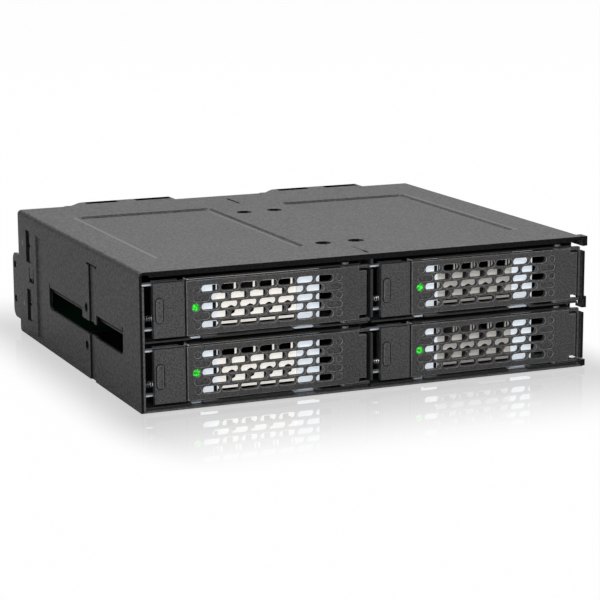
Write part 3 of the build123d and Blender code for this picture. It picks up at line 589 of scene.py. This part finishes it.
def zinc_with_painted_light():
    """Bright plating, painted warmer where the wall is set back and cooler in front, as painted light.

    It has dark punched marks, painted shade where the holes are, a painted shadow along the fold, and a
    dark flange. It glows on the side towards the door, less in the right trays: a painted glow that stands
    in for the light through the slots.
    """
    material, add = new_material("wall_zinc_painted_light")
    place = add("TexCoord").outputs["Object"]
    spot = add("VectorMath", {0: place, "Scale": 1 / MM}, operation="SCALE").outputs[0]
    axes = add("SeparateXYZ", {"Vector": spot}).outputs
    # Painted light: a tint that is cooler in front and warmer where the wall is set back.
    recess = ramp(add, axes["Y"], front_y + wall_depths[0], front_y + wall_depths[1], 0, 1)
    tint = blend(add, recess, cool_plating_and_light, warm_plating_and_light)
    in_bay = reckon(add, "MODULO", reckon(add, "SUBTRACT", axes["Z"], bay_floor["lower"]), bay_rise)
    row_start = bay_left["left"] + hole_first - pitches_back * hole_pitch
    in_pitch = reckon(add, "MODULO", reckon(add, "SUBTRACT", axes["X"], row_start), hole_pitch)
    in_tray = reckon(add, "MODULO", reckon(add, "SUBTRACT", axes["X"], bay_left["left"]), bay_step)
    # Painted shade in the holes, only on the set-back wall, and a painted shadow along the fold.
    holes = dark_where(add, [((in_pitch, *x), (in_bay, *z)) for x, z in punched], 0)
    holes = reckon(add, "MULTIPLY", holes, recess)
    holes = dark_where(add, [((in_tray, *fold_shadow_line), (in_bay, *z)) for z in fold_shadow_rows], holes)
    on_right = compare(add, axes["X"], 0, bay_left["right"] + bay_step)
    dimmed = reckon(add, "MULTIPLY", on_right, recess)
    on_flange = compare(add, in_bay, flange_low, bay_floor["upper"])
    hole_shade_and_dark_flange = reckon(add, "MAXIMUM", holes, on_flange)
    # Painted light: the glow that stands in for the light through the slots.
    behind_door = compare(add, in_tray, *painted_glow_span)
    above_foot = ramp(add, in_bay, *painted_glow_foot, 0, painted_glow)
    by_side = reckon(add, "MULTIPLY", above_foot, ramp(add, dimmed, 0, 1, 1, right_glow_share))
    slant = add("SeparateXYZ", {"Vector": add("TexCoord").outputs["Normal"]}).outputs["Y"]
    faces_door = reckon(add, "MULTIPLY", behind_door, compare(add, slant, *painted_glow_slant))
    lit = reckon(add, "MULTIPLY", by_side, faces_door)
    streak = add("TexNoise", {"Vector": spot}, Scale=0.06, Detail=4.0).outputs["Fac"]
    gloss = ramp(add, streak, 0.3, 0.7, 0.3, 0.45)
    colors = {"Base Color": tint, "Emission Color": tint, "Emission Strength": lit, "Roughness": gloss}
    shine = add("BsdfPrincipled", colors, Metallic=0.6).outputs[0]
    dark = add("BsdfPrincipled", {"Base Color": wall_dark}, Roughness=0.5).outputs[0]
    both = add("MixShader", {"Fac": hole_shade_and_dark_flange, 1: shine, 2: dark}).outputs[0]
    add("OutputMaterial", {"Surface": both})
    return material


wall_zinc_painted_light = zinc_with_painted_light()
for tray, x, z in bays:
    dress(f"tray_frame_{tray}", inner_coat)
    soften(dress(f"tray_front_{tray}", wall_zinc_painted_light), wall_edge)

# Doors: black coated steel plates with rows of round-ended vent slots. Shallow marks fill the ends of the
# rows. A barrel and two hooks at the right swing on a steel pin, and a tongue at the left meets the latch.
door_color = (0.05, 0.05, 0.05)
door_light = (0.078, 0.078, 0.078)
# Painted highlight: lighter coat colours for the slanted edge faces of doors and thumb ridges.
edge_highlight_color = (0.22, 0.22, 0.22)
edge_highlight_light = (0.3, 0.3, 0.3)
fine_grain = 0.00025
door_bump = 0.8
door_face = 0.3
mark_floor = 0.65
plate_back = 2.0
door_back = 2.3
face_edge = 0.14
plate_edge = 0.02
door_span = (13.05, 70.0)
door_rise = (1.65, 17.75)
rim_width = 0.9
notch_width = 2.4
notch_height = 1.4
slot_size = (5.6, 2.12)
slot_pitch = 5.99
slot_row_pitch = 2.66
slot_first = 20.47
slots_in_row = 7
rows_beside_middle = 2
face_middle = 9.7
mark_size = 1.93
mark_pill = 4.9
pill_places = (17.6, 59.6)
round_places = (16.25, 61.1)
lens_x = 15.9
lens_radius = 1.2
hinge_x = 63.7
hinge_y = 2.6
barrel_radius = 1.7
bore_radius = 0.88
barrel_edge = 0.05
hook_rise = (0.85, 17.9)
hook_reach = 7.9
hook_root = 1.5
hook_tip = (1.2, 0.1)
hook_thickness = 0.9
hook_edge = 0.08
tongue = ((12.55, 2.3), (14.25, 2.3), (14.25, 3.5), (12.55, 3.5))
tongue_rise = (7.0, 12.2)
tongue_edge = 0.1

# In the middle row the lens takes the place of the left mark.
slots = []
marks = []
for line in range(-rows_beside_middle, rows_beside_middle + 1):
    height = face_middle + line * slot_row_pitch
    short = line % 2
    for i in range(slots_in_row - short):
        slots.append(pill(slot_first + (i + short / 2) * slot_pitch, height, *slot_size))
    if short:
        marks += [pill(x, height, mark_pill, mark_size) for x in pill_places]
    else:
        marks += [pill(x, height, mark_size, mark_size) for x in (round_places if line else round_places[1:])]
lens_hole = pill(lens_x, face_middle, 2 * lens_radius, 2 * lens_radius)
left, right = door_span
bottom, top = door_rise
notch_x = right - notch_width
door_outline = [
    (left, bottom), (notch_x, bottom), (notch_x, bottom + notch_height), (right, bottom + notch_height),
    (right, top - notch_height), (notch_x, top - notch_height), (notch_x, top), (left, top),
]
rim_inside = [
    (left + rim_width, bottom + rim_width), (notch_x - rim_width, bottom + rim_width),
    (notch_x - rim_width, top - rim_width), (left + rim_width, top - rim_width),
]
hook_end = hinge_x + hook_reach
hook = [
    (hinge_x, hinge_y - hook_root), (hook_end, hinge_y - hook_tip[0]),
    (hook_end, hinge_y - hook_tip[1]), (hinge_x, hinge_y + hook_root),
]


def shifted(rings, across, up):
    """Rings moved to a bay."""
    return [[(u + across, v + up) for u, v in ring] for ring in rings]


def forward(depths):
    """How far to the front some places lie that are so deep behind the cage's front."""
    return [-front_y - depth for depth in depths]


def door_meshes(x, z):
    """The door's layers, barrel, hooks and tongue in a bay whose corner is given."""
    face = shifted([door_outline, lens_hole, *slots, *marks], x, z)
    plate = shifted([door_outline, lens_hole, *slots], x, z)
    rim = shifted([door_outline, rim_inside], x, z)
    barrel = shifted([pill(hinge_x, hinge_y, 2 * r, 2 * r) for r in (barrel_radius, bore_radius)], x, front_y)
    arm = shifted([hook], x, front_y)
    catch = shifted([list(tongue)], x, front_y)
    low, high = (z + v for v in hook_rise)
    rim_level, plate_level, mark_level, face_level = forward((door_back, plate_back, mark_floor, door_face))
    return [
        flat_piece(face, "front", mark_level, face_level, face_edge),
        flat_piece(plate, "front", plate_level, mark_level, plate_edge),
        flat_piece(rim, "front", rim_level, plate_level, plate_edge),
        flat_piece(barrel, "up", low, high, barrel_edge),
        flat_piece(arm, "up", low, low + hook_thickness, hook_edge),
        flat_piece(arm, "up", high - hook_thickness, high, hook_edge),
        flat_piece(catch, "up", z + tongue_rise[0], z + tongue_rise[1], tongue_edge),
    ]


door_coat = powder_coat("door_coat", door_color, door_light, fine_grain, door_bump, roughness=0.5)
# Painted highlight: a lighter copy of the door coat for the slanted edge faces.
door_edge_highlight = powder_coat("door_edge_highlight", edge_highlight_color, edge_highlight_light, roughness=0.35)
for tray, x, z in bays:
    door = piece(f"door_plate_{tray}", door_meshes(x, z), door_coat, f"door_{tray}", highlight_material=door_edge_highlight)
    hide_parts(f"door_{tray}")
    dress(f"hinge_pin_{tray}", rivet_steel)

# Latch: a black slide button with an upright thumb ridge, and a thin black ring round the ridge as a
# painted shadow. It slides between two bars of the tray's plate, and a wound spring of plated steel behind
# it pushes it right.
latch_color = (0.062, 0.062, 0.062)
latch_light = (0.092, 0.092, 0.092)
latch_edge = 0.00025
ridge_place = (4.7, 9.7)
ridge_size = (7.0, 2.0)
ridge_depths = (0.35, -0.02)
ridge_edge = 0.18
# Painted shadow: a thin black ring laid on the latch face round the ridge.
shade_ring_size = (7.8, 2.8)
shade_ring_depths = (0.33, 0.26)
shade_ring_edge = 0.01
spring_start = 0.65
spring_end = 7.0
spring_place = (3.6, 7.0)
spring_radius = 0.88
spring_turns = 9
wire_radius = 0.12
turn_steps = 16
wire_sides = 6


def upright_pill(place, length, width):
    """A ring with round ends that stands upright."""
    return [(place[0] - v, place[1] + u) for u, v in pill(0, 0, length, width)]


def coil(x, y, z):
    """A coil spring along X from a point, in millimetres."""
    build = bmesh.new()
    steps = turn_steps * spring_turns
    length = spring_end - spring_start - 2 * wire_radius
    rings = []
    for i in range(steps + 1):
        turn = 2 * math.pi * i / turn_steps
        outward = Vector((0, math.cos(turn), math.sin(turn)))
        middle = Vector((x + wire_radius + length * i / steps, y, z)) + spring_radius * outward
        ring = []
        for k in range(wire_sides):
            around = 2 * math.pi * k / wire_sides
            offset = math.cos(around) * outward + Vector((math.sin(around), 0, 0))
            ring.append(build.verts.new(middle + wire_radius * offset))
        rings.append(ring)
    for low, high in zip(rings, rings[1:]):
        for k in range(wire_sides):
            after = (k + 1) % wire_sides
            build.faces.new((low[k], low[after], high[after], high[k]))
    build.faces.new(rings[0])
    build.faces.new(rings[-1][::-1])
    mesh = to_mesh(build, "coil")
    mesh.transform(Matrix.Scale(MM, 4))
    return mesh


zinc = brushed("zinc_plate", (0.82, 0.83, 0.85), 0.22, 0.38)
latch_coat = powder_coat("latch_coat", latch_color, latch_light, fine_grain, door_bump, roughness=0.5)
ridge_shade_black = moulded("ridge_shade_black", (0.003, 0.003, 0.003), 0.7)
ridge_ring = upright_pill(ridge_place, *ridge_size)
shade_ring_outline = upright_pill(ridge_place, *shade_ring_size)
for tray, x, z in bays:
    soften(dress(f"latch_{tray}", latch_coat), latch_edge)
    start = (x + spring_start, front_y + spring_place[0], z + spring_place[1])
    spring = piece(f"latch_coil_{tray}", [coil(*start)], zinc, f"tray_{tray}")
    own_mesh(spring)
    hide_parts(f"latch_spring_{tray}")
    raised = flat_piece(shifted([ridge_ring], x, z), "front", *forward(ridge_depths), ridge_edge)
    piece(f"thumb_ridge_{tray}", [raised], latch_coat, f"latch_{tray}", highlight_material=door_edge_highlight)
    # The painted shadow ring round the ridge.
    around = shifted([shade_ring_outline, ridge_ring], x, z)
    shade_sheet = flat_piece(around, "front", *forward(shade_ring_depths), shade_ring_edge)
    piece(f"ridge_shade_ring_{tray}", [shade_sheet], ridge_shade_black, f"latch_{tray}")

# Indicator: a round domed lens of green plastic, set in the door. A short clear rod stands behind it in
# the tray and brings the light to it.
lens_dark = (0.0, 0.15, 0.0, 1)
lens_bright = (0.05, 1.0, 0.05, 1)
lens_glow = 0.5
lens_profile = ((1.08, -1.6), (1.08, -0.34), (0.95, -0.12), (0.5, -0.02), (0, 0))
rod_color = (0.9, 0.93, 0.93, 1)
rod_clearness = 0.8


def green_plastic():
    """Green plastic with a weak uneven glow."""
    material, add = new_material("lens_green")
    place = add("TexCoord").outputs["Object"]
    patch = add("TexNoise", {"Vector": place}, Scale=1400.0, Detail=1.0).outputs["Fac"]
    hue = blend(add, ramp(add, patch, 0.3, 0.7, 0, 1), lens_dark, lens_bright)
    colors = {"Base Color": hue, "Emission Color": hue, "Emission Strength": lens_glow}
    plastic = add("BsdfPrincipled", colors, Roughness=0.2)
    add("OutputMaterial", {"Surface": plastic.outputs[0]})
    return material


def clear_plastic():
    """Clear plastic with a slight haze."""
    material, add = new_material("clear_rod")
    place = add("TexCoord").outputs["Object"]
    haze = add("TexNoise", {"Vector": place}, Scale=300.0).outputs["Fac"]
    looks = {"Roughness": ramp(add, haze, 0, 1, 0.05, 0.15), "Transmission Weight": rod_clearness}
    plastic = add("BsdfPrincipled", {**looks, "Base Color": rod_color})
    add("OutputMaterial", {"Surface": plastic.outputs[0]})
    return material


lens_green = green_plastic()
clear_rod = clear_plastic()
for tray, x, z in bays:
    cap = turned(lens_profile, "front", (x + lens_x, front_y + door_face, z + face_middle))
    lens = piece(f"lens_dome_{tray}", [cap], lens_green, f"door_{tray}", smooth=60)
    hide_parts(f"indicator_lens_{tray}")
    dress(f"light_guide_{tray}", clear_rod)
